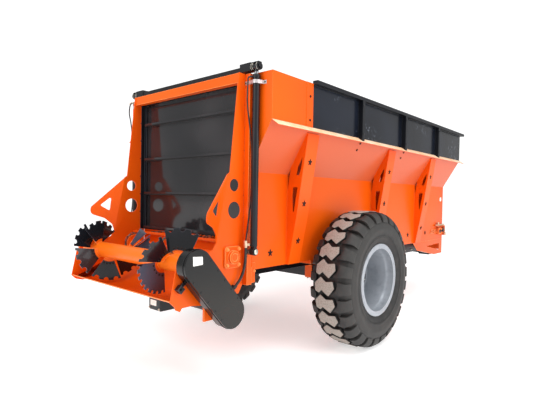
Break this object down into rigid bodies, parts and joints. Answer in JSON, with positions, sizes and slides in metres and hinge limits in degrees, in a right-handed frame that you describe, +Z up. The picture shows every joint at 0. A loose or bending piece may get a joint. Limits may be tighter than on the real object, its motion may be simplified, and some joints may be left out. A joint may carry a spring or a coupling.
{
  "type": "manure spreader",
  "caption": "Towed single-axle spreader with a tall box, floor conveyor, lifting tailgate and a toothed horizontal rotor that throws the load out behind.",
  "frame": {"origin": "on the ground under the middle of the machine's length and width", "axes": "+X towards the drawbar (forward), +Y to the machine's left, +Z up"},
  "size_m": [6.8752, 2.526, 2.53],
  "materials": {
    "orange_paint": "glossy",
    "black_paint": "glossy",
    "silver_paint": "satin",
    "bare_steel": "satin",
    "tyre_rubber": "matt",
    "hose_rubber": "satin"
  },
  "bodies": {
    "machine": {"axle": "black_paint", "axle_saddles": "orange_paint", "case_bracket": "orange_paint", "case_latch": "black_paint", "chain_case": "black_paint", "chassis_rails": "black_paint", "cheek_plate_left": "orange_paint", "cheek_plate_right": "orange_paint", "conveyor": "orange_paint", "cross_members": "orange_paint", "cross_tube": "black_paint", "cylinder_barrels": "black_paint", "cylinder_clamps": "silver_paint", "cylinder_feet": "orange_paint", "drawbar_beams": "black_paint", "drawbar_head": "black_paint", "drive_bearings": "orange_paint", "drive_shaft": "orange_paint", "driveline": "black_paint", "extension_left": "black_paint", "extension_right": "black_paint", "floor": "orange_paint", "floor_bearers": "orange_paint", "front_extension": "black_paint", "front_skirts": "orange_paint", "front_wall": "orange_paint", "gate_guides": "black_paint", "gearbox": "black_paint", "gearbox_mount": "orange_paint", "hitch_eye": "bare_steel", "idler_shaft": "orange_paint", "jack_tube": "black_paint", "ledges": "orange_paint", "oil_lines": "hose_rubber", "rear_corners": "orange_paint", "rotor_bearings": "orange_paint", "side_ribs_left": "orange_paint", "side_ribs_right": "orange_paint", "side_wall_left": "orange_paint", "side_wall_right": "orange_paint", "tail_posts": "orange_paint", "take_ups": "orange_paint", "top_crossbeam": "orange_paint", "trough": "orange_paint"},
    "wheel_left": {"tyre_left": "tyre_rubber", "rim_left": "silver_paint", "hub_left": "black_paint"},
    "wheel_right": {"tyre_right": "tyre_rubber", "rim_right": "silver_paint", "hub_right": "black_paint"},
    "tailgate": {"tailgate": "black_paint", "lift_bar": "black_paint", "cylinder_rods": "bare_steel"},
    "rotor": {"rotor_drum": "orange_paint", "rotor_blades": "black_paint"},
    "jack": {"jack_leg": "bare_steel"}
  },
  "joints": [
    {"name": "wheel_left_spin", "type": "hinge", "parent": "machine", "child": "wheel_left", "pos_m": [-1.20843, 1.041, 0.674], "axis": [0, 1, 0], "continuous": true},
    {"name": "wheel_right_spin", "type": "hinge", "parent": "machine", "child": "wheel_right", "pos_m": [-1.20843, -1.041, 0.674], "axis": [0, 1, 0], "continuous": true},
    {"name": "rotor_spin", "type": "hinge", "parent": "machine", "child": "rotor", "pos_m": [-3.18243, 0, 0.976], "axis": [0, 1, 0], "continuous": true},
    {"name": "tailgate_lift", "type": "slide", "parent": "machine", "child": "tailgate", "axis": [0, 0, 1], "range_m": [0, 1]},
    {"name": "jack_travel", "type": "slide", "parent": "machine", "child": "jack", "axis": [0, 0, 1], "range_m": [0, 0.35]}
  ]
}
